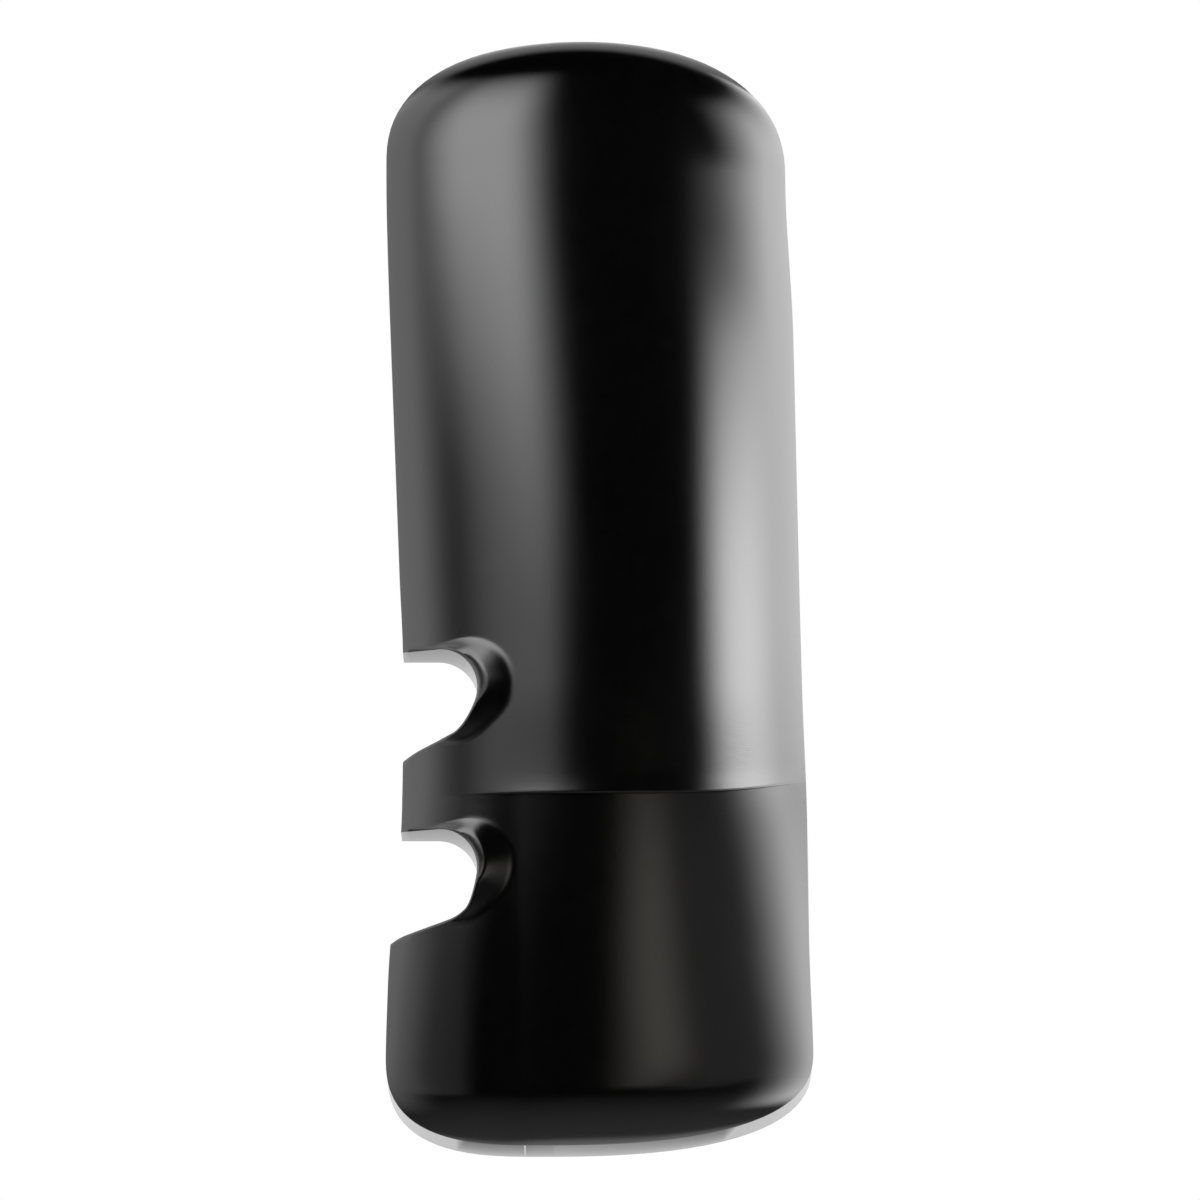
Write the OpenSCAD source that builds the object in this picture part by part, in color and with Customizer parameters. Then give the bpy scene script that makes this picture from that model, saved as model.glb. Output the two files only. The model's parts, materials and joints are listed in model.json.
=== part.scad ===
// Door mirror head of a commercial vehicle: a domed cover over a main mirror and a wide-angle mirror,
// carried by two round arms that lie in cradles on the cab side.
// +Z is up, the domed cover faces -Y, the glasses face +Y and the cab is on the -X side.
// The origin is on the axis of the lower arm, halfway along its cradle.

/* [Head] */
// Height of the head
head_h = 598; // [500:1:720]
// Width of the head at its widest, low down
head_w = 230; // [205:1:276]
// Distance from the lower arm's axis down to the bottom of the head
below_arm = 147; // [140:1:178]
// Distance from the arm axes to the cab-side edge
cab_reach = 28.5; // [26:0.5:34]
// Depth of the skirt between the crease and the cover's rear edge
skirt_d = 60; // [58:1:72]
// How far the dome stands out in front of the crease
dome_h = 31; // [26:1:38]

/* [Cover] */
// Wall of the cover
wall = 2.5; // [2:0.1:3]
// Height over which the dome rolls over at the top
top_roll = 27; // [20:1:34]
// Height over which the dome rolls under at the bottom
bottom_roll = 28; // [20:1:34]
// Fullness of the cross-section: near 1 is a half-round front
fullness = 0.9; // [0.8:0.01:0.96]
// Height of the split between the upper and the lower face above the lower arm
step_z = 39; // [34:1:42]
// How far the lower face sits behind the upper one
step_d = 4; // [2:0.5:6]
// Radius of the rolled edge above the split
step_roll = 2; // [1:0.5:2]
// How far the split climbs at the outer edge
step_rise = 10; // [0:1:12]
// Backward slope of the lower face, as depth lost for each unit of height
low_slope = 0.13; // [0.05:0.01:0.16]

/* [Arm pockets] */
// Distance between the two arm axes
arm_pitch = 97; // [92:1:117]
// Radius of the pocket in the cover
pocket_r = 21.5; // [18:0.5:25.8]
// Slope of the pocket's lower lip
lip_angle = 22; // [18:1:35]
// Extra drop of the lower lip
lip_drop = 5; // [0:0.5:7]
// Depth of the pocket behind the crease
pocket_d = 39; // [34:1:44]
// Radius of the raised collar where it meets the dome
collar_r = 25.8; // [24:0.1:31]
// Width of the collar's rim round the pocket
rim_w = 2; // [1:0.5:3]
// Radius of the arm that lies in the cradle
cradle_r = 27; // [24:0.5:30]
// Wall of the cradle
cradle_wall = 7; // [5:0.5:8]
// Length of the cradle along the arm
cradle_len = 38; // [30:1:40]

/* [Mirrors] */
// Bare border between the head's outline and a mirror opening
border = 9; // [8:0.5:12]
// Gap all round a glass in its opening
glass_gap = 4; // [3:0.5:6]
// Corner radius of the mirror openings
corner_r = 14; // [8:1:18]
// Thickness of each glass
glass_t = 2.5; // [2:0.1:3]
// Thickness of the heater foils
heater_t = 0.6; // [0.4:0.1:1]
// Thickness of the glass holders
holder_t = 3; // [2:0.1:3.5]
// Radius of curvature of the main glass
main_curve = 1800; // [1200:50:2600]
// Radius of curvature of the wide-angle glass
wide_curve = 420; // [380:10:900]
// Radius of the universal joint's pins
pin_r = 3; // [2.4:0.1:3.6]
// Distance from the mirror's centre to each jackscrew
jack_arm = 34; // [30:1:40]
// Radius of the jackscrews
jack_r = 4; // [3.3:0.1:4.8]

/* [Hidden] */
$fn = 48;

black = [0.09, 0.09, 0.1];
dark = [0.2, 0.2, 0.21];
cast = [0.62, 0.63, 0.64];
steel = [0.75, 0.76, 0.78];

// Clearances: between bodies, of a running pin, and of a screw in its hole
clear = 0.3;
run = 0.06;
slack = 0.1;
eps = 0.01;

// Levels across the depth, from the cradle outwards
cradle_y0 = -cradle_len / 2;
cradle_y1 = cradle_len / 2;
pocket_end_y = cradle_y0 - clear;
crease_y = pocket_end_y - pocket_d;
rear_y = crease_y + skirt_d;
frame_t = 18;
frame_y = rear_y + frame_t;
plate_t = 6;
plate_y = rear_y - 44;
plate_back = plate_y + plate_t;
pivot_y = rear_y - 2;
glass_y = frame_y - 2;

// Levels up the height, and the two sides
bottom_z = -below_arm;
top_z = bottom_z + head_h;
cab_x = -cab_reach;
out_x = cab_x + head_w;
arm_z = [0, arm_pitch];

// The sides lean: each entry is a height and the side's distance inside the widest line
cab_side = [[bottom_z + 50, 0], [-46, 2.1], [20, 9], [step_z, 9.2], [step_z + 20, 10.1],
    [arm_pitch + 48, 8.4], [top_z - 131, 1.8], [top_z - 87, 0.5]];
out_side = [[bottom_z + 50, 0], [-46, 1.8], [step_z, 2.8], [arm_pitch + 48, 6], [top_z - 87, 14.6]];

// The ends are part superellipses: height of the curve and its exponent, on the cab and outer sides
top_x = cab_x + 0.4674 * head_w;
foot_x = cab_x + 0.3738 * head_w;
top_curve = [[65, 2.25], [73, 2.15]];
foot_curve = [[50, 2.8], [52, 2.5]];

function bulge(t, p) = pow(max(0, 1 - pow(min(1, max(0, t)), p)), 1 / p);
function ends(z, side, inset) =
    z > top_z - top_curve[side][0] - inset
        ? [top_x, bulge((z - top_z + top_curve[side][0] + inset) / top_curve[side][0], top_curve[side][1])]
    : z < bottom_z + foot_curve[side][0] + inset
        ? [foot_x, bulge((bottom_z + foot_curve[side][0] + inset - z) / foot_curve[side][0],
            foot_curve[side][1])]
    : [0, 1];
function edge_x(z, side, inset) =
    let (straight = side == 0 ? cab_x + lookup(z, cab_side) + inset : out_x - lookup(z, out_side) - inset,
        e = ends(z, side, inset))
    e[0] + (straight - e[0]) * e[1];

// Heights of the rows, close together where the surface turns quickly
end_turn = [2, 6, 11, 17, 24, 32, 41, 51, 62, 75];
function rows(inset) =
    let (foot = max(foot_curve[0][0], foot_curve[1][0]), top = max(top_curve[0][0], top_curve[1][0]),
        low0 = bottom_z + inset + foot, high1 = top_z - inset - top)
    [for (a = end_turn) bottom_z + inset + foot * (1 - cos(a)),
     for (i = [0:5]) low0 + (step_z - 1 - low0) * i / 5,
     step_z - 0.2, step_z, step_z + 0.15 * step_roll, step_z + 0.5 * step_roll, step_z + step_roll,
     for (i = [1:10]) step_z + step_roll + (high1 - step_z - step_roll) * i / 10,
     for (i = [len(end_turn) - 1:-1:0]) top_z - inset - top * (1 - cos(end_turn[i]))];

// Depth of the dome in front of the crease at a place across (-1 to 1) and up the head
base_edge = sqrt(1 - fullness * fullness);
function across(u) = (sqrt(1 - pow(fullness * u, 2)) - base_edge) / (1 - base_edge);
function roll_over(s) = sqrt(max(0, 1 - pow(1 - min(1, max(0, s)), 2)));
function fade(x) = let (t = min(1, max(0, (x - 12) / 34))) t * t * (3 - 2 * t);
function step_loss(x, z) = fade(x) * (z >= step_z
    ? step_roll * (1 - roll_over((z - step_z) / step_roll))
    : step_d);
function face_h(x, z) = dome_h - step_loss(x, z) - low_slope * max(0, step_z - z);
function dome(u, x, z, inset) = max(0, face_h(x, z) - inset) * across(u)
    * roll_over((top_z - inset - z) / top_roll)
    * across(1 - min(1, max(0, z - bottom_z - inset) / bottom_roll));
function climb(u, z) = step_rise * pow(max(0, u), 3) * max(0, 1 - abs(z - step_z) / 60);

// Solid inside the cover's outer face, brought in by inset and taken back to a depth
cols = 30;
function spread(i) = sin(90 * (2 * i / cols - 1));
function face_point(i, z, inset) =
    let (u = spread(i), lifted = z + climb(u, z),
        a = edge_x(lifted, 0, inset), b = edge_x(lifted, 1, inset), x = (a + b) / 2 + u * (b - a) / 2)
    [x, crease_y - dome(u, x, z, inset), lifted];
module pillow(inset, back) {
    levels = rows(inset);
    m = len(levels) - 1;
    n = cols + 1;
    grid = [for (z = levels) for (i = [0:cols]) face_point(i, z, inset)];
    rim = [for (i = [0:cols]) i, for (j = [1:m]) j * n + cols,
        for (i = [cols - 1:-1:0]) m * n + i, for (j = [m - 1:-1:1]) j * n];
    k = len(rim);
    base = len(grid);
    polyhedron(points = [for (p = grid) p, for (r = rim) [grid[r][0], back, grid[r][2]]],
        faces = [for (j = [0:m - 1]) for (i = [0:cols - 1]) for (f = [0, 1])
                f == 0 ? [j * n + i, (j + 1) * n + i, j * n + i + 1]
                    : [j * n + i + 1, (j + 1) * n + i, (j + 1) * n + i + 1],
            for (r = [0:k - 1]) for (f = [0, 1]) let (q = (r + 1) % k)
                f == 0 ? [rim[r], rim[q], base + q] : [rim[r], base + q, base + r],
            [for (r = [0:k - 1]) base + r]]);
}

// Flat outline of the head, brought in by inset
module head2d(inset) {
    levels = rows(inset);
    m = len(levels) - 1;
    polygon([for (z = levels) [edge_x(z, 1, inset), z],
        for (j = [m:-1:0]) [edge_x(levels[j], 0, inset), levels[j]]]);
}

// Solid between outlines of the head, each given as a depth and an inset
module loft(layers) {
    m = len(rows(0)) - 1;
    n = 2 * m;
    polyhedron(points = [for (l = layers) let (zs = rows(l[1])) each concat(
            [for (z = zs) [edge_x(z, 1, l[1]), l[0], z]],
            [for (j = [m - 1:-1:1]) [edge_x(zs[j], 0, l[1]), l[0], zs[j]]])],
        faces = [for (j = [0:len(layers) - 2]) for (r = [0:n - 1]) for (f = [0, 1]) let (q = (r + 1) % n)
                f == 0 ? [j * n + r, j * n + q, (j + 1) * n + q]
                    : [j * n + r, (j + 1) * n + q, (j + 1) * n + r],
            [for (r = [n - 1:-1:0]) r],
            [for (r = [0:n - 1]) (len(layers) - 1) * n + r]]);
}

// Extrudes a shape drawn in X and Z between two depths
module along_y(y0, y1) {
    translate([0, y1, 0]) rotate([90, 0, 0]) linear_extrude(y1 - y0) children();
}
module rod_y(x, z, r, y0, y1) {
    translate([x, y1, z]) rotate([90, 0, 0]) cylinder(r = r, h = y1 - y0);
}
module round2d(x0, z0, x1, z1, r) {
    translate([x0 + r, z0]) square([x1 - x0 - 2 * r, z1 - z0]);
    translate([x0, z0 + r]) square([x1 - x0, z1 - z0 - 2 * r]);
    for (x = [x0 + r, x1 - r]) for (z = [z0 + r, z1 - r]) translate([x, z]) circle(r);
}

// Arm pocket, drawn round its arm's axis and open on the cab side
far = 160;
module pocket2d(grow) {
    r = pocket_r + grow;
    touch = [r * sin(lip_angle), -r * cos(lip_angle) - lip_drop];
    circle(r);
    translate([0, -lip_drop]) circle(r);
    translate([-eps, -lip_drop]) square([r, lip_drop]);
    polygon([[0, r], [-far, r], [-far, touch[1] - (far + touch[0]) * tan(lip_angle)], touch, [r / 2, 0]]);
}

// Raised collar round the pocket: a wide disc that lies in the dome and a rim further forward, both
// leaning with the dome, so that the rim stands proud away from the cab and fades towards it
collar_x = -8;
module collar(grow) {
    intersection() {
        hull() {
            translate([18.3, crease_y - 17 + grow, 1.4]) rotate([0, 0, -17])
                rod_y(0, 0, collar_r - grow, -1, 0);
            translate([2, crease_y - 14.5 + grow, 0]) rotate([0, 0, -30])
                rod_y(0, 0, pocket_r + rim_w, -1, 0);
        }
        translate([collar_x + grow, -far, -far]) cube(2 * far);
    }
}

// Bay on the cab side where the arms' clamps lie
bay_z0 = -cradle_r - 20;
bay_z1 = arm_pitch + cradle_r + 20;
spine_x = cradle_r + cradle_wall;
spine_t = 5;
window_x = spine_x + 7;

// Mirror openings, one above the other
split_z = step_z + 8;
split_h = 12;
main_x = (window_x + out_x - border - 4) / 2;
main_z = (split_z + top_z - border) / 2;
wide_z = (bottom_z + border + split_z) / 2;
// Places that hold the head together
cover_posts = [[60, top_z - 80], [out_x - 51.5, top_z - 95],
    [60, bottom_z + 62], [out_x - 41.5, bottom_z + 62]];
frame_posts = [[8, top_z - 80], [8, (top_z + arm_pitch + 46) / 2], [8, bottom_z + 60],
    [main_x, split_z]];
post_r = 5;
screw_r = 1.8;

module opening2d(upper, inset) {
    z0 = upper ? split_z + split_h / 2 : bottom_z;
    z1 = upper ? top_z : split_z - split_h / 2;
    offset(r = corner_r - inset) offset(delta = -corner_r) intersection() {
        head2d(border);
        translate([window_x, z0]) square([head_w, z1 - z0]);
    }
}

// Cover: one shell with its pockets, collars and screw posts
module cover_form(inset, back) {
    difference() {
        union() {
            pillow(inset, back);
            for (z = arm_z) translate([0, 0, z]) collar(inset);
        }
        for (z = arm_z) translate([0, 0, z]) along_y(-far, inset == 0 ? far : pocket_end_y) pocket2d(inset);
    }
}
module cover() {
    color(black) resize([0, 0, 0]) difference() {
        cover_form(0, rear_y);
        difference() {
            cover_form(wall, rear_y + 1);
            for (p = cover_posts) rod_y(p[0], p[1], post_r, -far, plate_y - clear, $fn = 24);
        }
        for (p = cover_posts) rod_y(p[0], p[1], screw_r, plate_y - 20, plate_y, $fn = 24);
        translate([-far, pocket_end_y, bay_z0]) cube([far + cradle_r, far, bay_z1 - bay_z0]);
    }
}

// Rear frame round both glasses: a spigot inside the cover, a rim on its edge and a rounded back
spigot_d = 6;
back_round = [12, 5];
module rear_frame() {
    color(dark) difference() {
        union() {
            loft([[rear_y + clear, 1], for (a = [0:15:90])
                [frame_y - back_round[0] * (1 - sin(a)), 1 + back_round[1] * (1 - cos(a))]]);
            along_y(rear_y - spigot_d, rear_y + clear + eps) difference() {
                head2d(wall + 0.4);
                head2d(wall + 2.9);
            }
        }
        for (upper = [true, false]) along_y(rear_y - spigot_d - 1, frame_y + 1) opening2d(upper, 0);
        along_y(rear_y - spigot_d - 1, frame_y - 3) intersection() {
            head2d(border);
            translate([cab_x, bottom_z]) square([window_x - 6 - cab_x, head_h]);
        }
        translate([-far, rear_y - spigot_d - 1, bay_z0])
            cube([far + spine_x + 1, far, bay_z1 - bay_z0]);
        translate([-far, rear_y - spigot_d - 1, bay_z0])
            cube([far + window_x + eps, spigot_d + 7 + clear, bay_z1 - bay_z0]);
        for (p = frame_posts) rod_y(p[0], p[1], screw_r, rear_y, frame_y + 1);
    }
}

// Carrier: cast plate, spine and two half-round cradles with clamp ears
ear_z = cradle_r + 11;
ear_h = 12;
tap_r = 3.4;
tap_d = 18;
plate_x1 = out_x - 32;
module carrier() {
    color(cast) difference() {
        union() {
            along_y(plate_y, plate_back) difference() {
                union() {
                    round2d(spine_x, bottom_z + 45, plate_x1, top_z - 55, 12);
                    round2d(cab_x + 20, bay_z1, out_x - 60, top_z - 60, 10);
                    round2d(cab_x + 14, bottom_z + 45, out_x - 60, bay_z0, 10);
                }
                for (z = [main_z, wide_z]) translate([main_x, z]) circle(20);
                for (s = [-1, 1]) translate([main_x, main_z + s * 95]) round2d(-28, -25, 28, 25, 10);
            }
            translate([spine_x, plate_y, bay_z0]) cube([spine_t, rear_y + 6 - plate_y, bay_z1 - bay_z0]);
            for (z = arm_z) translate([0, 0, z]) {
                rod_y(0, 0, cradle_r + cradle_wall, cradle_y0, cradle_y1, $fn = 96);
                for (s = [-1, 1]) translate([4, cradle_y0, s * ear_z - ear_h / 2])
                    cube([spine_x - 4 + eps, rear_y + 6 - cradle_y0, ear_h]);
                translate([cradle_r, cradle_y0, -ear_z])
                    cube([spine_x - cradle_r + eps, rear_y + 6 - cradle_y0, 2 * ear_z]);
            }
            for (p = frame_posts)
                rod_y(p[0], p[1], post_r, plate_y, p == frame_posts[3] ? rear_y : frame_y - 3 - clear);
        }
        for (z = arm_z) translate([0, 0, z]) {
            rod_y(0, 0, cradle_r, cradle_y0 - 1, cradle_y1 + 1, $fn = 96);
            translate([-far, cradle_y0 - 1, -ear_z]) cube([far, cradle_len + 2, 2 * ear_z]);
            for (s = [-1, 1]) translate([4 - eps, (cradle_y0 + cradle_y1) / 2 - 2, s * ear_z])
                rotate([0, 90, 0]) cylinder(r = tap_r, h = tap_d);
        }
        for (p = cover_posts) rod_y(p[0], p[1], screw_r + slack, plate_y - 1, plate_back + 1);
        for (p = frame_posts) rod_y(p[0], p[1], screw_r, rear_y - 12, frame_y);
    }
}

module screw_y(x, z, head_y, len) {
    rod_y(x, z, screw_r - slack, head_y - len, head_y);
    rod_y(x, z, 2.2 * screw_r, head_y, head_y + 2.4);
}
module cover_screws() {
    color(steel) for (p = cover_posts) screw_y(p[0], p[1], plate_back, plate_t + 14);
}
module frame_screws() {
    color(steel) for (p = frame_posts) screw_y(p[0], p[1], frame_y, frame_t + 6);
}

// Spring clips that hook the carrier's outer edge to the cover's skirt
clip_lap = 6;
clip_z = [bottom_z + 90, main_z - 60, main_z + 60];
module cover_clips() {
    color(steel) for (z = clip_z) {
        reach = edge_x(z, 1, wall) - clear;
        translate([plate_x1 - clip_lap, plate_back, z - 6]) cube([reach - plate_x1 + clip_lap, 1, 12]);
        translate([reach - 1, plate_back, z - 6]) cube([1, 14, 12]);
    }
}

// Mirror actuator, drawn round its own centre
drum_r = 46;
drum_y1 = pivot_y - 10;
ear_r = pin_r + 2.2;
ear_x = 14;
lid_t = 2;
motor_r = 6;
swing = 8;
module pivot_ears(y0, y1, gap) {
    for (s = [-1, 1]) difference() {
        union() {
            translate([s * ear_x - 2.5, y0, -ear_r]) cube([5, y1 - y0, 2 * ear_r]);
            translate([s * ear_x - 2.5, pivot_y, 0]) rotate([0, 90, 0]) cylinder(r = ear_r, h = 5);
        }
        translate([s * ear_x - 4, pivot_y, 0]) rotate([0, 90, 0]) cylinder(r = pin_r + gap, h = 8);
    }
}
module actuator_base() {
    y0 = plate_back + clear;
    difference() {
        rod_y(0, 0, drum_r, y0, drum_y1 - lid_t - clear);
        rod_y(0, 0, drum_r - 2.5, y0 + 3, drum_y1);
    }
    for (s = [-1, 1]) for (t = [-1, 1]) difference() {
        rod_y(s * 27, t * 27, 4, y0 + 2.9, drum_y1 - lid_t - clear);
        rod_y(s * 27, t * 27, screw_r, y0 + 4, drum_y1);
    }
}
module actuator_lid() {
    difference() {
        union() {
            rod_y(0, 0, drum_r, drum_y1 - lid_t, drum_y1);
            for (p = [[jack_arm, 0], [0, jack_arm]]) rod_y(p[0], p[1], jack_r + 3, drum_y1 - 6, drum_y1);
            pivot_ears(drum_y1 - eps, pivot_y, run);
        }
        for (p = [[jack_arm, 0], [0, jack_arm]]) rod_y(p[0], p[1], jack_r + clear, drum_y1 - 9, drum_y1 + 1);
        for (s = [-1, 1]) for (t = [-1, 1]) rod_y(s * 27, t * 27, screw_r + slack, drum_y1 - 9, drum_y1 + 1);
    }
}
module actuator_motors() {
    y = plate_back + clear + 3 + motor_r + clear;
    for (s = [0, 90]) rotate([0, s, 0]) translate([-34, y, -14]) rotate([0, 90, 0]) {
        cylinder(r = motor_r, h = 30);
        translate([0, 0, 30 - eps]) cylinder(r = 1.5, h = 8);
    }
}
module actuator_screws() {
    for (s = [-1, 1]) for (t = [-1, 1]) screw_y(s * 27, t * 27, drum_y1, 10);
}
module cross() {
    translate([-6, pivot_y - 6, -6]) cube(12);
    for (a = [0, 90]) rotate([0, a, 0])
        translate([-ear_x - 3, pivot_y, 0]) rotate([0, 90, 0]) cylinder(r = pin_r, h = 2 * ear_x + 6);
}
// Jackscrew: threaded rod with a round head that presses in a seat under the holder
module jack(x, z) {
    travel = jack_arm * swing * PI / 180;
    ball_r = jack_r + 1.2;
    rod_y(x, z, jack_r, plate_back + clear + 4 + travel, seat_y - clear - ball_r);
    translate([x, seat_y - clear - ball_r, z]) sphere(ball_r);
}

// Curved sheet that fills a mirror opening, concentric with the glass's reflecting face
module sheet(upper, inset, apex_y, t) {
    z = upper ? main_z : wide_z;
    curve = upper ? main_curve : wide_curve;
    outer = curve - (glass_y - apex_y);
    intersection() {
        along_y(apex_y - 30, apex_y + 1) opening2d(upper, inset);
        translate([main_x, glass_y - curve, z]) rotate([-90, 0, 0]) difference() {
            sphere(outer, $fn = 180);
            sphere(outer - t, $fn = 180);
        }
    }
}
holder_y = glass_y - glass_t - heater_t;
seat_y = holder_y - holder_t - 3;
boss_r = jack_arm + 6;
module holder(upper) {
    z = upper ? main_z : wide_z;
    sheet(upper, glass_gap, holder_y, holder_t);
    translate([main_x, 0, z]) {
        rod_y(0, 0, boss_r, seat_y, holder_y - holder_t + 0.1);
        rotate([0, 90, 0]) pivot_ears(pivot_y, seat_y + eps, run);
    }
}

module at_main() { translate([main_x, 0, main_z]) children(); }
module at_wide() { translate([main_x, 0, wide_z]) children(); }
module main_actuator_base() { color(dark) at_main() actuator_base(); }
module main_actuator_lid() { color(dark) at_main() actuator_lid(); }
module main_motors() { color(steel) at_main() actuator_motors(); }
module main_actuator_screws() { color(steel) at_main() actuator_screws(); }
module main_cross() { color(steel) at_main() cross(); }
module main_tilt_jack() { color("white") at_main() jack(0, jack_arm); }
module main_pan_jack() { color("white") at_main() jack(jack_arm, 0); }
module main_holder() { color(black) holder(true); }
module main_heater() { color("orange") sheet(true, glass_gap, holder_y + heater_t, heater_t); }
module main_glass() { color("lightblue") sheet(true, glass_gap, glass_y, glass_t); }
module wide_actuator_base() { color(dark) at_wide() actuator_base(); }
module wide_actuator_lid() { color(dark) at_wide() actuator_lid(); }
module wide_motors() { color(steel) at_wide() actuator_motors(); }
module wide_actuator_screws() { color(steel) at_wide() actuator_screws(); }
module wide_cross() { color(steel) at_wide() cross(); }
module wide_tilt_jack() { color("white") at_wide() jack(0, jack_arm); }
module wide_pan_jack() { color("white") at_wide() jack(jack_arm, 0); }
module wide_holder() { color(black) holder(false); }
module wide_heater() { color("orange") sheet(false, glass_gap, holder_y + heater_t, heater_t); }
module wide_glass() { color("lightblue") sheet(false, glass_gap, glass_y, glass_t); }

// Wiring on the front of the plate, from the connector by the lower arm to both actuators
loom_r = 3;
loom_y = plate_y - clear - loom_r;
loom_x = spine_x + 14;
plug_z = split_z;
module run_z(x, z0, z1) { translate([x, loom_y, z0]) cylinder(r = loom_r, h = z1 - z0); }
module run_x(x0, x1, z) { translate([x0, loom_y, z]) rotate([0, 90, 0]) cylinder(r = loom_r, h = x1 - x0); }
module elbow(x, z) { translate([x, loom_y, z]) sphere(loom_r); }
module harness() {
    color(black) union() {
        run_z(loom_x, wide_z, main_z);
        for (z = [wide_z, main_z]) {
            elbow(loom_x, z);
            run_x(loom_x, main_x, z);
            elbow(main_x, z);
            rod_y(main_x, z, loom_r, loom_y, plate_back + clear);
        }
    }
}
module connector() {
    color(dark) difference() {
        translate([loom_x - 11, plate_y - clear - 2 * loom_r - 9, plug_z - 14]) cube([22, 9 - eps, 28]);
        translate([loom_x - 8, plate_y - clear - 2 * loom_r - 8, plug_z - 11]) cube([16, 6, 30]);
    }
}
module harness_clips() {
    color(black) for (z = [wide_z + 35, main_z - 100, main_z - 40]) difference() {
        translate([loom_x - 6, plate_y - 2 * loom_r - 3, z - 4]) cube([12, 2 * loom_r + 3, 8]);
        translate([loom_x, loom_y, z - 5]) cylinder(r = loom_r + slack, h = 10);
    }
}

cover();
rear_frame();
carrier();
cover_screws();
frame_screws();
cover_clips();
main_actuator_base();
main_actuator_lid();
main_motors();
main_actuator_screws();
main_cross();
main_tilt_jack();
main_pan_jack();
main_holder();
main_heater();
main_glass();
wide_actuator_base();
wide_actuator_lid();
wide_motors();
wide_actuator_screws();
wide_cross();
wide_tilt_jack();
wide_pan_jack();
wide_holder();
wide_heater();
wide_glass();
harness();
connector();
harness_clips();
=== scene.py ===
import bpy
import json
import math
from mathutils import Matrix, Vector


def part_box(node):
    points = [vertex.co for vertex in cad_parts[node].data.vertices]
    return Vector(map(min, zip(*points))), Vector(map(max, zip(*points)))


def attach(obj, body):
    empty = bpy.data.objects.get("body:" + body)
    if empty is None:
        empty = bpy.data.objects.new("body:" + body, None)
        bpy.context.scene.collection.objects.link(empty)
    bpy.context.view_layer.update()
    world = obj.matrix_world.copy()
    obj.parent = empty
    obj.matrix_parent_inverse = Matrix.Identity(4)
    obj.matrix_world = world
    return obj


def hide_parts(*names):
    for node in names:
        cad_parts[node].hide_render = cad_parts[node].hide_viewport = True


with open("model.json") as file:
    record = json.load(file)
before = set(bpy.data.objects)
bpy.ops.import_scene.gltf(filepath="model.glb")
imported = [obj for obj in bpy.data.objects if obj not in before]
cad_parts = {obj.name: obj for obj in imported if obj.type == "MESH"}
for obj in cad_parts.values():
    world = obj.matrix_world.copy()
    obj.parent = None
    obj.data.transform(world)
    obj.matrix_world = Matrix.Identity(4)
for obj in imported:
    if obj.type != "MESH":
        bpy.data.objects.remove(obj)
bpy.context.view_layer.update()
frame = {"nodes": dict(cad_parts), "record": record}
mm = 0.001
record = frame["record"]
coverLow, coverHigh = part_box("cover")
armHeights = [m["pos_m"][2] for m in record["mounts"] if m["kind"] == "clamp"]


def pick(obj):
    bpy.ops.object.select_all(action="DESELECT")
    obj.select_set(True)
    bpy.context.view_layer.objects.active = obj


def clamp(value, low=0.0, high=1.0):
    return min(high, max(low, value))


def smooth(value):
    t = clamp(value)
    return t * t * (3 - 2 * t)


shot = {
    "target": (0.0872, -0.0363, 0.1502),
    "away": 8.0,
    "lens": 446,
    "lift": -8,  # degrees, seen from slightly below
}
camData = bpy.data.cameras.new("camera")
camData.lens = shot["lens"]
camData.sensor_width = 36
camObj = bpy.data.objects.new("camera", camData)
bpy.context.scene.collection.objects.link(camObj)
rise = math.radians(shot["lift"])
lookFrom = Vector((0, -math.cos(rise), math.sin(rise)))
camObj.location = Vector(shot["target"]) + lookFrom * shot["away"]
camObj.rotation_euler = (-lookFrom).to_track_quat("-Z", "Y").to_euler()
bpy.context.scene.camera = camObj
print("camera placed")


def newMaterial(name):
    mat = bpy.data.materials.new(name)
    mat.use_nodes = True
    tree = mat.node_tree
    return mat, tree, tree.nodes["Principled BSDF"]


def noiseNode(tree, scale, detail=3.0, rough=0.5):
    coords = tree.nodes.new("ShaderNodeTexCoord")
    noise = tree.nodes.new("ShaderNodeTexNoise")
    noise.inputs["Scale"].default_value = scale
    noise.inputs["Detail"].default_value = detail
    noise.inputs["Roughness"].default_value = rough
    tree.links.new(coords.outputs["Object"], noise.inputs["Vector"])
    return noise


def spreadNode(tree, source, low, high, start=0.35, end=0.65):
    ranger = tree.nodes.new("ShaderNodeMapRange")
    ranger.inputs["From Min"].default_value = start
    ranger.inputs["From Max"].default_value = end
    ranger.inputs["To Min"].default_value = low
    ranger.inputs["To Max"].default_value = high
    tree.links.new(source, ranger.inputs["Value"])
    return ranger


def blendNode(tree, factor, first, second):
    mixer = tree.nodes.new("ShaderNodeMix")
    mixer.data_type = "RGBA"
    mixer.inputs["A"].default_value = (*first, 1)
    mixer.inputs["B"].default_value = (*second, 1)
    tree.links.new(factor, mixer.inputs["Factor"])
    return mixer


def bumpNode(tree, source, strength, distance, below=None):
    bump = tree.nodes.new("ShaderNodeBump")
    bump.inputs["Strength"].default_value = strength
    bump.inputs["Distance"].default_value = distance
    tree.links.new(source, bump.inputs["Height"])
    if below:
        tree.links.new(below.outputs["Normal"], bump.inputs["Normal"])
    return bump


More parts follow.
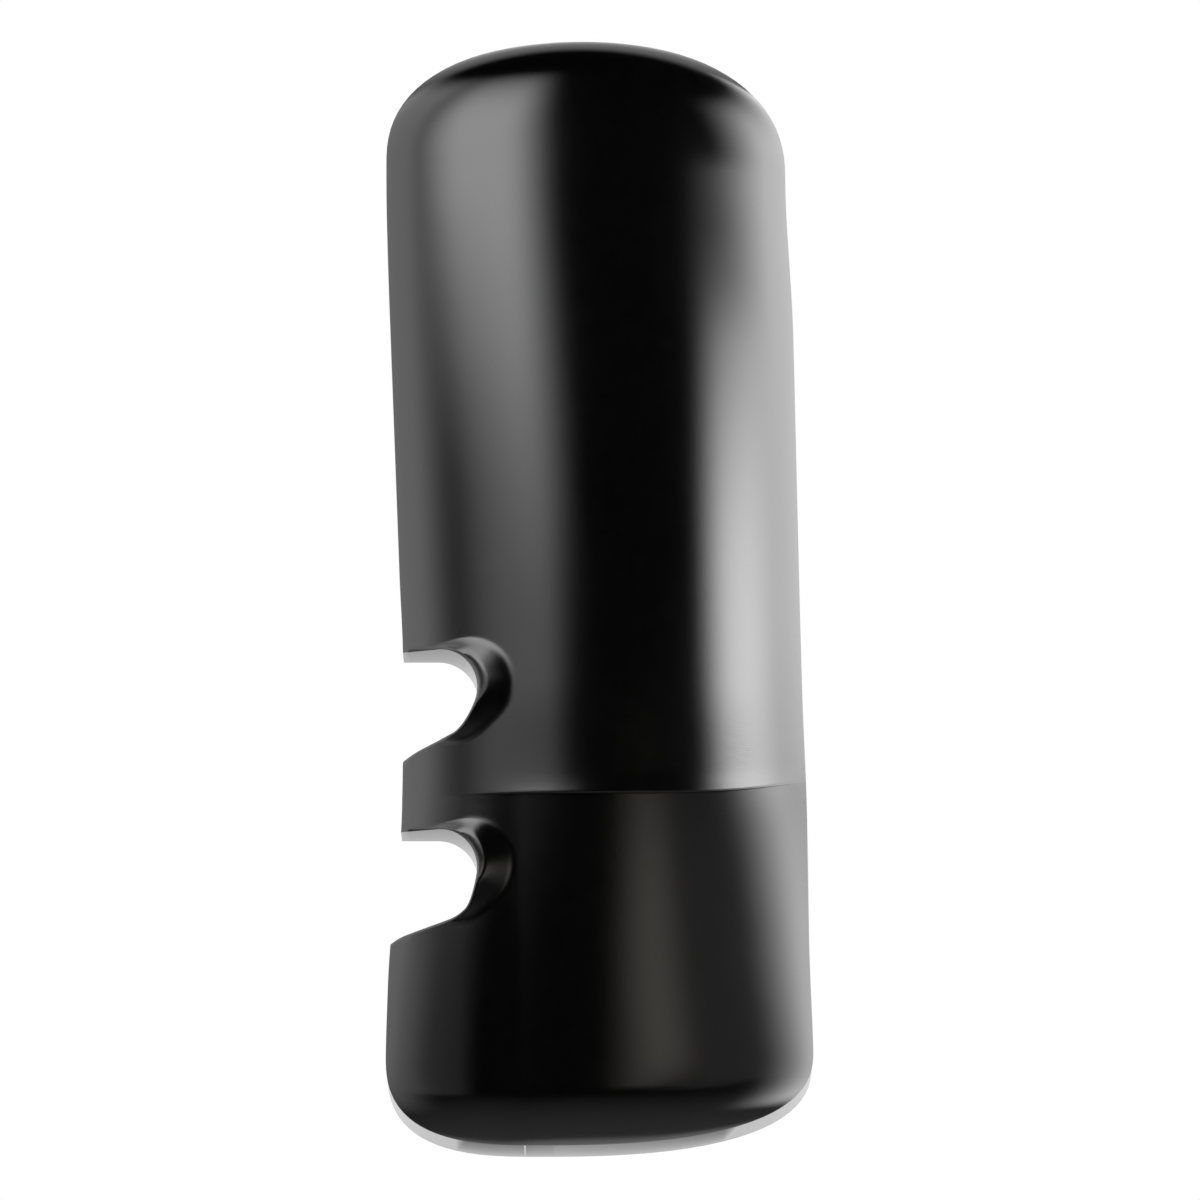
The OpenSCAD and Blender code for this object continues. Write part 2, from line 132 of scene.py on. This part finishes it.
def makeFinishGroup():
    group = bpy.data.node_groups.new("worn_finish", "ShaderNodeTree")
    sockets = [("Grain Scale", "NodeSocketFloat"), ("Grain Strength", "NodeSocketFloat"),
               ("Wave Scale", "NodeSocketFloat"), ("Wave Strength", "NodeSocketFloat"),
               ("Dark Tone", "NodeSocketColor"), ("Light Tone", "NodeSocketColor"),
               ("Smoothest", "NodeSocketFloat"), ("Roughest", "NodeSocketFloat")]
    for label, kind in sockets:
        group.interface.new_socket(name=label, in_out="INPUT", socket_type=kind)
    for label, kind in (("Color", "NodeSocketColor"), ("Roughness", "NodeSocketFloat"),
                        ("Normal", "NodeSocketVector")):
        group.interface.new_socket(name=label, in_out="OUTPUT", socket_type=kind)
    ends = group.nodes.new("NodeGroupInput"), group.nodes.new("NodeGroupOutput")
    given, made = ends[0].outputs, ends[1].inputs
    fine, broad = noiseNode(group, 900, 2.0), noiseNode(group, 9, 4.0)
    speck = noiseNode(group, 90, 5.0, 0.65)
    group.links.new(given["Grain Scale"], fine.inputs["Scale"])
    group.links.new(given["Wave Scale"], broad.inputs["Scale"])
    speckScale = group.nodes.new("ShaderNodeMath")
    speckScale.operation = "MULTIPLY"
    speckScale.inputs[1].default_value = 0.11
    group.links.new(given["Grain Scale"], speckScale.inputs[0])
    group.links.new(speckScale.outputs[0], speck.inputs["Scale"])
    share = spreadNode(group, speck.outputs["Fac"], 0, 1)
    tone = blendNode(group, share.outputs["Result"], (0, 0, 0), (1, 1, 1))
    group.links.new(given["Dark Tone"], tone.inputs["A"])
    group.links.new(given["Light Tone"], tone.inputs["B"])
    group.links.new(tone.outputs["Result"], made["Color"])
    gloss = spreadNode(group, broad.outputs["Fac"], 0.4, 0.6)
    group.links.new(given["Smoothest"], gloss.inputs["To Min"])
    group.links.new(given["Roughest"], gloss.inputs["To Max"])
    group.links.new(gloss.outputs["Result"], made["Roughness"])
    low = bumpNode(group, broad.outputs["Fac"], 0.02, 0.001)
    high = bumpNode(group, fine.outputs["Fac"], 0.1, 0.0002, low)
    group.links.new(given["Wave Strength"], low.inputs["Strength"])
    group.links.new(given["Grain Strength"], high.inputs["Strength"])
    group.links.new(high.outputs["Normal"], made["Normal"])
    return group


finishGroup = makeFinishGroup()


def surface(name, tones, rough, metal=0.0, grain=(900, 0.1), wave=(9, 0.02)):
    mat, tree, shader = newMaterial(name)
    shader.inputs["Metallic"].default_value = metal
    look = tree.nodes.new("ShaderNodeGroup")
    look.node_tree = finishGroup
    values = {"Grain Scale": grain[0], "Grain Strength": grain[1],
              "Wave Scale": wave[0], "Wave Strength": wave[1],
              "Dark Tone": (*tones[0], 1), "Light Tone": (*tones[1], 1),
              "Smoothest": rough[0], "Roughest": rough[1]}
    for label, value in values.items():
        look.inputs[label].default_value = value
    tree.links.new(look.outputs["Color"], shader.inputs["Base Color"])
    tree.links.new(look.outputs["Roughness"], shader.inputs["Roughness"])
    tree.links.new(look.outputs["Normal"], shader.inputs["Normal"])
    return mat


finishes = {
    "cover_plastic": dict(tones=((0.0003, 0.0003, 0.0003), (0.0007, 0.0007, 0.0007)), rough=(0.105, 0.13),
                          grain=(1500, 0.12), wave=(7, 0.01)),
    "frame_plastic": dict(tones=((0.016, 0.016, 0.017), (0.024, 0.024, 0.025)), rough=(0.5, 0.62),
                          grain=(700, 0.5)),
    "cast_alloy": dict(tones=((0.5, 0.5, 0.5), (0.62, 0.62, 0.61)), rough=(0.38, 0.55), metal=1.0,
                       grain=(420, 0.9), wave=(30, 0.2)),
    "plated_steel": dict(tones=((0.6, 0.6, 0.58), (0.74, 0.73, 0.7)), rough=(0.22, 0.36), metal=1.0),
    "spring_steel": dict(tones=((0.16, 0.17, 0.2), (0.24, 0.24, 0.27)), rough=(0.26, 0.4), metal=1.0),
    "loom": dict(tones=((0.012, 0.012, 0.012), (0.03, 0.03, 0.03)), rough=(0.6, 0.8),
                 grain=(500, 0.9)),
    "connector_plastic": dict(tones=((0.05, 0.05, 0.055), (0.075, 0.075, 0.08)), rough=(0.4, 0.55)),
    "loom_clip": dict(tones=((0.02, 0.02, 0.02), (0.035, 0.035, 0.035)), rough=(0.4, 0.5)),
    "actuator_plastic": dict(tones=((0.03, 0.03, 0.032), (0.055, 0.055, 0.058)), rough=(0.45, 0.6),
                             grain=(600, 0.6)),
    "actuator_lid_plastic": dict(tones=((0.05, 0.05, 0.055), (0.08, 0.08, 0.085)), rough=(0.42, 0.58),
                                 grain=(600, 0.6)),
    "motor_steel": dict(tones=((0.5, 0.5, 0.5), (0.62, 0.62, 0.61)), rough=(0.2, 0.34), metal=1.0),
    "cross_acetal": dict(tones=((0.62, 0.6, 0.54), (0.7, 0.68, 0.62)), rough=(0.3, 0.42)),
    "jack_acetal": dict(tones=((0.68, 0.66, 0.6), (0.76, 0.74, 0.69)), rough=(0.28, 0.4)),
    "holder_plastic": dict(tones=((0.015, 0.015, 0.016), (0.028, 0.028, 0.03)), rough=(0.45, 0.6),
                           grain=(700, 0.5)),
    "heater_foil": dict(tones=((0.3, 0.12, 0.02), (0.42, 0.18, 0.035)), rough=(0.25, 0.4)),
    "mirror_glass": dict(tones=((0.84, 0.86, 0.88), (0.88, 0.9, 0.91)), rough=(0.015, 0.05), metal=1.0,
                         grain=(60, 0.005), wave=(5, 0.005)),
}
materials = {slot: surface(slot, **look) for slot, look in finishes.items()}
slotOf = {part["node"]: part["material_slot"] for part in record["subparts"]}
for name, node in frame["nodes"].items():
    node.data.materials.clear()
    node.data.materials.append(materials[slotOf[name]])
print("materials made:", len(materials))

shell = {
    "width": 230, "dome": 31, "fullness": 0.9, "wall": 2.5,
    "crease": -58.3, "topRoll": 46, "bottomRoll": 28,
    "pocket": 21.5, "rimRound": 1.5,  # arm pocket radius and the round on its rim
    "pocketEnd": -19.3,
    "cradleBay": ((-160, -47), (27, 144)),  # open towards the cab behind the pockets
    "outerGrid": 1.0, "innerGrid": 2.5, "smoothAngle": 28,
}
step = {
    "height": 39, "depth": 4, "from": 12, "over": 34,  # it fades in across the face
    "roll": 1, "flare": 0.45, "flareRise": 12, "flareFade": 48,
    "climb": 10, "climbReach": 60, "slope": 0.05,
}
collar = {
    "lift": 4.3, "fillet": 5, "roll": 1.8, "rollWide": 5,
    "discs": [(18, 3, 25), (10, -7, 23), (8, 1.5, 23.6)], "merge": 1.6,  # x, z and radius from the arm
    "reach": 40, "start": -14, "riseFrom": -12, "riseOver": 32,
    "sag": 4, "sagFrom": 8, "sagOver": 16,
    "rollFrom": 6, "rollOver": 12, "rollTurn": 0.7, "rollFade": 0.9,
}
lips = [  # lower lip of each pocket: it steepens towards the cab
    {"slope": 17.5, "drop": 6.7, "dropFrom": 8, "dropOver": 38, "bendAt": -16, "bend": 0.02, "edge": -24.5},
    {"slope": 24, "drop": 4.4, "dropFrom": 22, "dropOver": 48, "bendAt": -8, "bend": 0.01, "edge": -17.5},
]
lipRun = {"far": -70, "fineTo": -32, "fine": 0.6, "coarse": 6, "edgeBend": 0.08, "steepest": 80, "points": 64}
bottomZ, topZ = coverLow.z / mm, coverHigh.z / mm
cabX, rearY = coverLow.x / mm, coverHigh.y / mm
outX = cabX + shell["width"]
arms = [z / mm for z in armHeights]
pitch = arms[1] - arms[0]
sideLines = [  # height and how far the side leans in, cab side then outer side
    [(bottomZ + 50, 1), (-46, 2.7), (20, 9.4), (39, 9.6), (59, 10.1), (pitch + 28, 10), (pitch + 48, 8.6),
     (topZ - 131, 1.8), (topZ - 87, 0.5)],
    [(bottomZ + 50, 0.2), (-46, 2.4), (39, 3.6), (90, 5.8), (pitch + 48, 7.2), (topZ - 150, 10.6),
     (topZ - 87, 14.6)],
]
sideSoften = (-14, -7, 0, 7, 14)
crown = {"middle": 0.4674, "curves": [(65, 2.32), (73, 2.22)]}  # height and power of each shoulder
foot = {"middle": 0.352, "curves": [(50, 2.78), (52, 2.6)]}
topX, footX = cabX + crown["middle"] * shell["width"], cabX + foot["middle"] * shell["width"]
lattice = {
    "fineLow": -36, "fineHigh": 129, "fineRight": 48,  # the collars and the step lie in here
    "widest": 3.2, "grow": 0.1, "edgeFirst": 0.9, "edgeGrow": 0.12,
    "turn": 4, "plainRows": 6, "footRows": 4, "gap": 0.02,
    "stepLead": 0.04, "stepTurns": (0, 12, 24, 36, 48, 60, 75, 90),
}


def lookUp(table, z):
    if z <= table[0][0]:
        return table[0][1]
    for (z0, v0), (z1, v1) in zip(table, table[1:]):
        if z <= z1:
            return v0 + (v1 - v0) * (z - z0) / (z1 - z0)
    return table[-1][1]


def softLine(table, z):
    return sum(lookUp(table, z + d) for d in sideSoften) / len(sideSoften)


def bulge(t, power):
    return max(0.0, 1 - clamp(t) ** power) ** (1 / power)


def edgeX(z, side, inset):
    lean = softLine(sideLines[side], z)
    straight = cabX + lean + inset if side == 0 else outX - lean - inset
    high, low = crown["curves"][side], foot["curves"][side]
    if z > topZ - high[0] - inset:
        return topX + (straight - topX) * bulge((z - topZ + high[0] + inset) / high[0], high[1])
    if z < bottomZ + low[0] + inset:
        return footX + (straight - footX) * bulge((bottomZ + low[0] + inset - z) / low[0], low[1])
    return straight


baseEdge = math.sqrt(1 - shell["fullness"] ** 2)


def across(u):
    return (math.sqrt(1 - (shell["fullness"] * u) ** 2) - baseEdge) / (1 - baseEdge)


def rollOver(s):
    return math.sqrt(max(0.0, 1 - (1 - clamp(s)) ** 2))


def domeDepth(u, x, z, inset):
    up = z - step["height"]
    rising = 1 - (1 - clamp(up / step["flareRise"])) ** 2
    fading = 1 - smooth((up - step["flareRise"]) / step["flareFade"])
    rolled = step["roll"] * (1 - rollOver(up / step["roll"])) + step["flare"] * (rising * fading)
    loss = smooth((x - step["from"]) / step["over"]) * (rolled if up >= 0 else step["depth"])
    height = shell["dome"] - loss - step["slope"] * max(0, step["height"] - z)
    return max(0, height - inset) * across(u) * rollOver((topZ - inset - z) / shell["topRoll"]) \
        * across(1 - clamp(max(0, z - bottomZ - inset) / shell["bottomRoll"]))


def collarLift(x, z):
    best = 0.0
    merge = collar["merge"]
    for arm in arms:
        dx, dz = x, z - arm
        if abs(dz) > collar["reach"] or dx < collar["start"]:
            continue
        sag = collar["sag"] * smooth((-dz - collar["sagFrom"]) / collar["sagOver"])
        outside = math.hypot(max(0, dx), dz + sag) - shell["pocket"]
        inside = merge * math.log(sum(math.exp((r - math.hypot(dx - cx, dz - cz)) / merge)
                                      for cx, cz, r in collar["discs"]))
        if inside <= 0:
            continue
        outside = max(0.0, outside)
        band = inside + outside
        fillet = min(collar["fillet"], band)
        ramp = inside * inside / (2 * fillet) if inside < fillet else inside - fillet / 2
        start = smooth((dx - collar["riseFrom"]) / collar["riseOver"])
        rise = collar["lift"] * start * ramp / (band - fillet / 2)
        turn = math.atan2(dz, max(dx, 0.01))
        fadeIn = smooth((dx - collar["rollFrom"]) / collar["rollOver"])
        fadeIn *= smooth((turn + collar["rollTurn"]) / collar["rollFade"])
        edge = clamp(1 - outside / (1 + collar["rollWide"] * fadeIn))
        fall = collar["roll"] * edge * edge * fadeIn
        best = max(best, rise - fall) if rise > 0 else best
    return best


def faceY(x, z):
    a, b = edgeX(z, 0, 0), edgeX(z, 1, 0)
    u = clamp((2 * x - a - b) / max(1e-6, b - a), -1, 1)
    return shell["crease"] - domeDepth(u, x, z, 0) - collarLift(x, z)


def climb(u, z):  # the step's edge rises towards the outer side
    return step["climb"] * max(0, u) ** 3 * max(0, 1 - abs(z - step["height"]) / step["climbReach"])


def columns(fine):
    a, b = edgeX(60, 0, 0), edgeX(60, 1, 0)
    xs = [a]
    while xs[-1] < b - 0.8 * fine:
        x = xs[-1]
        wide = min(lattice["widest"], 1 + lattice["grow"] * (x - lattice["fineRight"]),
                   lattice["edgeFirst"] + lattice["edgeGrow"] * (b - x))
        xs.append(x + fine * (1 if x < lattice["fineRight"] else wide))
    xs[-1] = b
    return [(2 * x - a - b) / (b - a) for x in xs]


def rows(fine):
    count = int(90 / (lattice["turn"] * fine))
    fans = [1 - math.cos(math.radians(90 * i / count)) for i in range(count + 1)]
    low = [bottomZ + lattice["gap"] + foot["curves"][1][0] * fan for fan in fans]
    top = [topZ - lattice["gap"] - crown["curves"][1][0] * fan for fan in reversed(fans)]
    first = step["height"] - lattice["stepLead"]
    stepRows = [first] + [step["height"] + step["roll"] * (1 - math.cos(math.radians(a)))
                          for a in lattice["stepTurns"]]
    zs = low[:]
    while zs[-1] < top[0] - 4 * fine:
        z = zs[-1]
        plain = lattice["footRows"] if z < 0 else lattice["plainRows"]
        nextZ = z + (fine if lattice["fineLow"] < z < lattice["fineHigh"] else plain * fine)
        if z < first - 0.6 * fine and nextZ >= first - 0.4 * fine:
            zs += stepRows
        else:
            zs.append(nextZ)
    return zs + top


def pillow(name, inset, back, fine):
    us, zs = columns(fine), rows(fine)
    nu, nz = len(us) - 1, len(zs) - 1
    bpy.ops.object.select_all(action="DESELECT")
    bpy.ops.mesh.primitive_grid_add(x_subdivisions=nu, y_subdivisions=nz, size=2)
    obj = bpy.context.active_object
    obj.name = name
    span = (topZ - bottomZ - 2 * inset) / (topZ - bottomZ)
    for v in obj.data.vertices:
        i, j = round((v.co.x + 1) / 2 * nu), round((v.co.y + 1) / 2 * nz)
        z = bottomZ + inset + (zs[j] - bottomZ) * span
        u = us[i]
        lifted = z + climb(u, z)
        a, b = edgeX(lifted, 0, inset), edgeX(lifted, 1, inset)
        x = (a + b) / 2 + u * (b - a) / 2
        y = shell["crease"] - domeDepth(u, x, z, inset)
        if inset == 0:
            y -= collarLift(x, lifted)
        if i in (0, nu) or j in (0, nz):
            y = shell["crease"]
        v.co = (x * mm, y * mm, lifted * mm)
    pick(obj)
    bpy.ops.object.mode_set(mode="EDIT")
    bpy.ops.mesh.select_all(action="SELECT")
    bpy.ops.mesh.region_to_loop()
    bpy.ops.mesh.extrude_region_move(TRANSFORM_OT_translate={"value": (0, (back - shell["crease"]) * mm, 0)})
    bpy.ops.mesh.edge_face_add()
    bpy.ops.object.mode_set(mode="OBJECT")
    return obj


behind, inFront = 60, -200  # well clear of the cover, for the cutting tools


def pocketLine(lip, grow):
    r = shell["pocket"] + grow
    points = [(x, r, 0, 1) for x in (lipRun["far"], -30, -15)]
    slope = math.radians(lip["slope"])
    for i in range(lipRun["points"] + 1):
        turn = math.pi / 2 - (math.pi - slope) * i / lipRun["points"]
        nx, nz = math.cos(turn), math.sin(turn)
        drop = lip["drop"] * smooth((-math.degrees(turn) - lip["dropFrom"]) / lip["dropOver"])
        points.append((nx * r, nz * r - drop, nx, nz))
    x, z = points[-1][:2]
    while x > lipRun["far"]:
        if x < lip["bendAt"]:
            slope += lip["bend"]
        if x < lip["edge"]:
            slope += lipRun["edgeBend"]
        slope = min(math.radians(lipRun["steepest"]), slope)
        x -= lipRun["fine"] * math.cos(slope) if x > lipRun["fineTo"] else lipRun["coarse"]
        z -= lipRun["fine"] * math.sin(slope)
        points.append((x, z, math.sin(slope), -math.cos(slope)))
    return points


def prism(name, rings):
    n = len(rings[0])
    mesh = bpy.data.meshes.new(name)
    verts = [tuple(c * mm for c in p) for ring in rings for p in ring]
    faces = [(k * n + i, k * n + (i + 1) % n, (k + 1) * n + (i + 1) % n, (k + 1) * n + i)
             for k in range(len(rings) - 1) for i in range(n)]
    faces += [tuple(range(n - 1, -1, -1)), tuple((len(rings) - 1) * n + i for i in range(n))]
    mesh.from_pydata(verts, [], faces)
    obj = bpy.data.objects.new(name, mesh)
    bpy.context.scene.collection.objects.link(obj)
    pick(obj)
    bpy.ops.object.mode_set(mode="EDIT")
    bpy.ops.mesh.select_all(action="SELECT")
    bpy.ops.mesh.normals_make_consistent(inside=False)
    bpy.ops.object.mode_set(mode="OBJECT")
    return obj


def pocketCutter(arm, lip):
    line = pocketLine(lip, 0)
    r = shell["rimRound"]
    profile = [(0, None)] + [  # outwards and forwards from the rim
        (r * (1 - math.cos(math.radians(a))), r - r * math.sin(math.radians(a)))
        for a in (0, 15, 30, 45, 60, 72)]
    profile.append((profile[-1][0] + 0.9, profile[-1][1] - 0.3))
    rings = []
    for out, drop in profile:
        ring = []
        for x, z, nx, nz in line:
            px, pz = x + nx * out, z + nz * out
            y = behind if drop is None else faceY(px, pz + arm) + drop
            ring.append((px, y, pz + arm))
        rings.append(ring)
    rings.append([(x, inFront, z) for x, y, z in rings[-1]])
    return prism("pocketCutter", rings)


def carve(target, tool):
    cut = target.modifiers.new("cut", "BOOLEAN")
    cut.operation = "DIFFERENCE"
    cut.solver = "MANIFOLD"
    cut.object = tool
    pick(target)
    bpy.ops.object.modifier_apply(modifier=cut.name)
    bpy.data.objects.remove(tool)


def boxTool(low, high):
    bpy.ops.object.select_all(action="DESELECT")
    bpy.ops.mesh.primitive_cube_add(size=1, location=[(a + b) / 2 * mm for a, b in zip(low, high)],
                                    scale=[(b - a) * mm for a, b in zip(low, high)])
    bpy.ops.object.transform_apply(location=True, rotation=True, scale=True)
    return bpy.context.active_object


coverObj = pillow("cover_shell", 0, rearY, shell["outerGrid"])
innerObj = pillow("innerTool", shell["wall"], rearY + 1, shell["innerGrid"])
for arm, lip in zip(arms, lips):
    line = pocketLine(lip, shell["wall"])
    rings = [[(x, y, z + arm) for x, z, nx, nz in line] for y in (shell["pocketEnd"], inFront)]
    carve(innerObj, prism("flangeTool", rings))
carve(coverObj, innerObj)
for arm, lip in zip(arms, lips):
    carve(coverObj, pocketCutter(arm, lip))
(bayLeft, bayLow), (bayRight, bayHigh) = shell["cradleBay"]
carve(coverObj, boxTool((bayLeft, shell["pocketEnd"], bayLow), (bayRight, behind, bayHigh)))
pick(coverObj)
bpy.ops.object.shade_smooth_by_angle(angle=math.radians(shell["smoothAngle"]))
coverObj.data.materials.clear()
coverObj.data.materials.append(materials["cover_plastic"])
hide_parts("cover")
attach(coverObj, "head")
print("cover built:", len(coverObj.data.polygons), "faces")

surround = {"mergeWithin": 0.00001, "smoothAngle": 32}
rearMesh = frame["nodes"]["rear_frame"].data.copy()
rearObj = bpy.data.objects.new("rear_surround", rearMesh)
bpy.context.scene.collection.objects.link(rearObj)
pick(rearObj)
bpy.ops.object.mode_set(mode="EDIT")
bpy.ops.mesh.select_all(action="SELECT")
bpy.ops.mesh.remove_doubles(threshold=surround["mergeWithin"])
bpy.ops.object.mode_set(mode="OBJECT")
bpy.ops.object.shade_smooth_by_angle(angle=math.radians(surround["smoothAngle"]))
even = rearObj.modifiers.new("even", "WEIGHTED_NORMAL")
even.keep_sharp = True
even.weight = 100
bpy.ops.object.modifier_apply(modifier=even.name)
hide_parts("rear_frame")
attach(rearObj, "head")
print("rear surround built:", len(rearObj.data.polygons), "faces")

floorLook = {
    "size": 30, "height": -1.3, "glow": 0.4, "rough": 0.8,
    "tones": ((0.78, 0.78, 0.78), (0.82, 0.82, 0.82)),
}
bpy.ops.object.select_all(action="DESELECT")
bpy.ops.mesh.primitive_plane_add(size=floorLook["size"], location=(0, 0, floorLook["height"]))
floorObj = bpy.context.active_object
floorObj.name = "floor"
floorMat, floorTree, floorShader = newMaterial("pale_floor")
floorTone = blendNode(floorTree, noiseNode(floorTree, 3).outputs["Fac"], *floorLook["tones"])
floorTree.links.new(floorTone.outputs["Result"], floorShader.inputs["Base Color"])
floorShader.inputs["Roughness"].default_value = floorLook["rough"]
floorShader.inputs["Emission Color"].default_value = (1, 1, 1, 1)
floorShader.inputs["Emission Strength"].default_value = floorLook["glow"]
floorObj.data.materials.append(floorMat)
floorObj.visible_glossy = False


# turns are degrees seen from above: 0 is towards the camera, + is to its right
# lows and highs are heights in metres at the first and the last turn
# fades are shares of the panel: at its first turn, its last turn, its foot and its head
panels = {
    "left_soft": dict(turns=(-60, -3), lows=(0.45, 0.29), highs=(3.2, 3.2), power=6.6, fades=(0.45,
                      0.29, 0.085, 0.9),
                      lean=(0.44, 0.58, 0, -4)),
    "left_low": dict(turns=(-50, -7), lows=(0.16, 0.16), highs=(0.48, 0.48), power=1.6, fades=(0.6,
                     0.2, 0.2, 0.3)),
    "left_dim": dict(turns=(-125, -38), lows=(-1.6, -1.6), highs=(3.2, 3.2), power=2.6, fades=(0.3,
                     0.35, 0.4, 0.3)),
    "left_foot": dict(turns=(-62, -8), lows=(-0.5, -0.5), highs=(0.26, 0.26), power=0.55, fades=(0.3,
                      0.8, 0.2, 0.15)),
    "right_soft": dict(turns=(25, 132), lows=(0.2, 0.2), highs=(1.6, 3.4), power=10.6, fades=(0.36,
                       0.1, 0.06, 0.7),
                       lean=(0.36, 0.78, 11, 0)),
    "right_strip": dict(turns=(25, 64), lows=(0.2, 0.2), highs=(0.68, 0.68), power=11, fades=(0.34,
                        0.6, 0.13, 0.7)),
    "right_low": dict(turns=(30, 132), lows=(-2.2, -2.2), highs=(0.28, 0.28), power=10, fades=(0.34,
                      0.1, 0.5, 0.04)),
    "middle_foot": dict(turns=(8, 48), lows=(-0.4, -0.4), highs=(0.2, 0.2), power=0.32, fades=(0.3,
                        0.3, 0.2, 0.2)),
    "low_warm": dict(turns=(1, 18), lows=(-0.25, -0.25), highs=(0.18, 0.18), power=1.25, fades=(0.5,
                     0.5, 0.37, 0.4),
                     tint=(1, 0.96, 0.86)),
}
panelAway = 1.6


def softPanel(name, turns, lows, highs, power, fades, tint=(1, 1, 1), lean=(0, 1, 0, 0)):
    bpy.ops.object.select_all(action="DESELECT")
    bpy.ops.mesh.primitive_grid_add(x_subdivisions=24, y_subdivisions=24, size=2)
    obj = bpy.context.active_object
    obj.name = name
    centre = Vector((shot["target"][0], shot["target"][1], 0))
    for v in obj.data.vertices:
        side, up = (v.co.x + 1) / 2, (v.co.y + 1) / 2
        low, high = (pair[0] + (pair[1] - pair[0]) * side for pair in (lows, highs))
        z = low + (high - low) * up
        shift = smooth((z - lean[0]) / (lean[1] - lean[0])) * (lean[2] * (1 - side) + lean[3] * side)
        turn = math.radians(turns[0] + (turns[1] - turns[0]) * side + shift)
        v.co = centre + Vector((panelAway * math.sin(turn), -panelAway * math.cos(turn), z))
    mat = bpy.data.materials.new(name + "_glow")
    mat.use_nodes = True
    tree = mat.node_tree
    tree.nodes.clear()
    coords = tree.nodes.new("ShaderNodeTexCoord")
    parts = tree.nodes.new("ShaderNodeSeparateXYZ")
    tree.links.new(coords.outputs["UV"], parts.inputs["Vector"])
    masks = []
    edges = (("X", 0, fades[0]), ("X", 1, 1 - fades[1]), ("Y", 0, fades[2]), ("Y", 1, 1 - fades[3]))
    for axis, dark, lit in edges:
        fade = tree.nodes.new("ShaderNodeMapRange")
        fade.interpolation_type = "SMOOTHSTEP"
        fade.inputs["From Min"].default_value = min(dark, lit)
        fade.inputs["From Max"].default_value = max(dark, lit)
        fade.inputs["To Min"].default_value = 0 if dark < lit else 1
        fade.inputs["To Max"].default_value = 1 if dark < lit else 0
        tree.links.new(parts.outputs[axis], fade.inputs["Value"])
        masks.append(fade.outputs["Result"])
    total = masks[0]
    for extra in masks[1:]:
        times = tree.nodes.new("ShaderNodeMath")
        times.operation = "MULTIPLY"
        tree.links.new(total, times.inputs[0])
        tree.links.new(extra, times.inputs[1])
        total = times.outputs[0]
    strength = tree.nodes.new("ShaderNodeMath")
    strength.operation = "MULTIPLY"
    strength.inputs[1].default_value = power
    tree.links.new(total, strength.inputs[0])
    glow = tree.nodes.new("ShaderNodeEmission")
    glow.inputs["Color"].default_value = (*tint, 1)
    tree.links.new(strength.outputs[0], glow.inputs["Strength"])
    clearShade = tree.nodes.new("ShaderNodeBsdfTransparent")
    both = tree.nodes.new("ShaderNodeAddShader")
    tree.links.new(glow.outputs[0], both.inputs[0])
    tree.links.new(clearShade.outputs[0], both.inputs[1])
    out = tree.nodes.new("ShaderNodeOutputMaterial")
    tree.links.new(both.outputs[0], out.inputs["Surface"])
    obj.data.materials.append(mat)
    obj.visible_camera = False
    obj.visible_shadow = False


for name, look in panels.items():
    softPanel(name, **look)

world = bpy.data.worlds.new("studio")
bpy.context.scene.world = world
world.use_nodes = True
wt = world.node_tree
wt.nodes.clear()
wCoords = wt.nodes.new("ShaderNodeTexCoord")
wParts = wt.nodes.new("ShaderNodeSeparateXYZ")
wt.links.new(wCoords.outputs["Generated"], wParts.inputs["Vector"])
studio = {
    "back": dict(axis="Y", seen=(0.1, 0.4), light=(0.004, 0.95), soft="SMOOTHSTEP"),
    "ground": dict(axis="Z", seen=(-0.15, -0.95), light=(0.0, 0.4), soft="LINEAR"),
}


def worldFade(axis, seen, light, soft):
    fade = wt.nodes.new("ShaderNodeMapRange")
    fade.interpolation_type = soft
    for label, value in zip(("From Min", "From Max", "To Min", "To Max"), (*seen, *light)):
        fade.inputs[label].default_value = value
    wt.links.new(wParts.outputs[axis], fade.inputs["Value"])
    return fade


backWall, ground = worldFade(**studio["back"]), worldFade(**studio["ground"])
around = wt.nodes.new("ShaderNodeMath")
around.operation = "ADD"
wt.links.new(backWall.outputs["Result"], around.inputs[0])
wt.links.new(ground.outputs["Result"], around.inputs[1])
rays = wt.nodes.new("ShaderNodeLightPath")
wMix = wt.nodes.new("ShaderNodeMix")
wMix.data_type = "FLOAT"
wMix.inputs["B"].default_value = 1.0
wt.links.new(rays.outputs["Is Camera Ray"], wMix.inputs["Factor"])
wt.links.new(around.outputs[0], wMix.inputs["A"])
wBack = wt.nodes.new("ShaderNodeBackground")
wBack.inputs["Color"].default_value = (1, 1, 1, 1)
wt.links.new(wMix.outputs["Result"], wBack.inputs["Strength"])
wOut = wt.nodes.new("ShaderNodeOutputWorld")
wt.links.new(wBack.outputs[0], wOut.inputs["Surface"])
bpy.context.scene.view_settings.view_transform = "Standard"
print("lights made")
